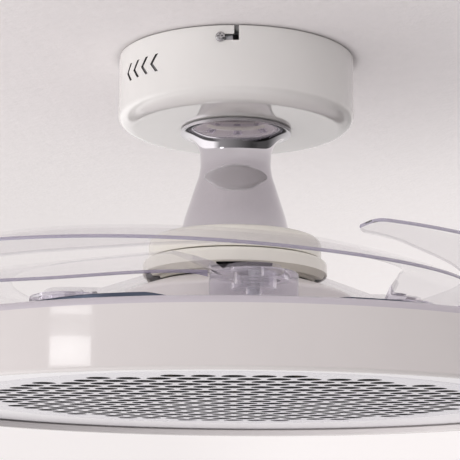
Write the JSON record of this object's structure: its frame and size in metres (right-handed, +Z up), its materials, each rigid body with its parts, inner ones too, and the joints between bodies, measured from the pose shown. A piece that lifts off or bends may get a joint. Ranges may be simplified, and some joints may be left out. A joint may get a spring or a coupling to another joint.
{
  "type": "retractable blade ceiling fan",
  "caption": "Ceiling fan with a round white lamp drum below; clear blades fold in over the drum and swing out as the motor spins.",
  "frame": {"origin": "centre of the ceiling bracket's top face, where it meets the ceiling", "axes": "+Z up out of the ceiling face along the fan's axis; the fan hangs below; -Y is the side in the picture's front"},
  "size_m": [0.5, 0.5, 0.2512],
  "materials": {
    "canopy_white": "gloss white enamel",
    "motor_white": "gloss white enamel",
    "lamp_white": "satin white enamel",
    "drum_white": "gloss white enamel",
    "diffuser_ring": "opal white",
    "diffuser_plate": "opal white",
    "smoked_lens": "smoked clear sheet",
    "neck_polished": "mirror polish",
    "trim_polished": "mirror polish",
    "zinc_steel": "zinc plated",
    "screw_steel": "nickel plated",
    "spring_steel": "bright wire",
    "cup_black": "black powder coat",
    "magnet_black": "epoxy coated",
    "blade_clear": "clear moulded",
    "carrier_clear": "clear moulded",
    "copper_wire": "enamelled copper wire",
    "nylon_black": "moulded nylon",
    "board_white": "white solder mask",
    "box_white": "moulded white"
  },
  "bodies": {
    "fan_body": {"canopy_shell": "canopy_white", "motor_cover": "motor_white", "lamp_dome": "lamp_white", "lamp_base": "lamp_white", "led_tray": "lamp_white", "drum_shell": "drum_white", "light_ring": "diffuser_ring", "pattern_plate": "diffuser_plate", "lens_sheet": "smoked_lens", "neck_cover": "neck_polished", "trim_ring": "trim_polished", "ceiling_bracket": "zinc_steel", "downrod": "zinc_steel", "motor_shaft": "zinc_steel", "hanger_pin": "zinc_steel", "coupling_pin": "zinc_steel", "lamp_sleeve": "zinc_steel", "lamp_washer": "zinc_steel", "lamp_nut": "zinc_steel", "bearing_upper": "zinc_steel", "bearing_lower": "zinc_steel", "stator_core": "zinc_steel", "canopy_screw_1": "screw_steel", "canopy_screw_2": "screw_steel", "cover_screw_1": "screw_steel", "cover_screw_2": "screw_steel", "cover_screw_3": "screw_steel", "stator_windings": "copper_wire", "hanger_ball": "nylon_black", "wire_grommet": "nylon_black", "led_board": "board_white", "led_driver": "box_white", "receiver_box": "box_white", "terminal_block": "box_white"},
    "rotor": {"rotor_cup": "cup_black", "rotor_lid": "zinc_steel", "magnet_ring": "magnet_black", "rotor_skirt": "motor_white", "blade_carrier": "carrier_clear", "pivot_bolt_1": "zinc_steel", "pivot_washer_1": "zinc_steel", "stop_pin_1": "zinc_steel", "pivot_bolt_2": "zinc_steel", "pivot_washer_2": "zinc_steel", "stop_pin_2": "zinc_steel", "pivot_bolt_3": "zinc_steel", "pivot_washer_3": "zinc_steel", "stop_pin_3": "zinc_steel", "pivot_bolt_4": "zinc_steel", "pivot_washer_4": "zinc_steel", "stop_pin_4": "zinc_steel"},
    "blade_1": {"blade_1": "blade_clear", "return_spring_1": "spring_steel"},
    "blade_2": {"blade_2": "blade_clear", "return_spring_2": "spring_steel"},
    "blade_3": {"blade_3": "blade_clear", "return_spring_3": "spring_steel"},
    "blade_4": {"blade_4": "blade_clear", "return_spring_4": "spring_steel"}
  },
  "joints": [
    {"name": "rotor_spin", "type": "hinge", "parent": "fan_body", "child": "rotor", "pos_m": [0, 0, -0.15], "axis": [0, 0, 1], "continuous": true},
    {"name": "blade_1_swing", "type": "hinge", "parent": "rotor", "child": "blade_1", "pos_m": [0.01202, -0.11437, -0.185], "axis": [0, 0, 1], "range_deg": [0, 160], "stiffness_Nm_per_rad": 0.16, "springref_deg": -34.38},
    {"name": "blade_2_swing", "type": "hinge", "parent": "rotor", "child": "blade_2", "pos_m": [0.11437, 0.01202, -0.185], "axis": [0, 0, 1], "range_deg": [0, 160], "stiffness_Nm_per_rad": 0.16, "springref_deg": -34.38},
    {"name": "blade_3_swing", "type": "hinge", "parent": "rotor", "child": "blade_3", "pos_m": [-0.01202, 0.11437, -0.185], "axis": [0, 0, 1], "range_deg": [0, 160], "stiffness_Nm_per_rad": 0.16, "springref_deg": -34.38},
    {"name": "blade_4_swing", "type": "hinge", "parent": "rotor", "child": "blade_4", "pos_m": [-0.11437, -0.01202, -0.185], "axis": [0, 0, 1], "range_deg": [0, 160], "stiffness_Nm_per_rad": 0.16, "springref_deg": -34.38}
  ],
  "couplings": [
    {"joint": "blade_2_swing", "follows": "blade_1_swing", "ratio": 1},
    {"joint": "blade_3_swing", "follows": "blade_1_swing", "ratio": 1},
    {"joint": "blade_4_swing", "follows": "blade_1_swing", "ratio": 1}
  ]
}
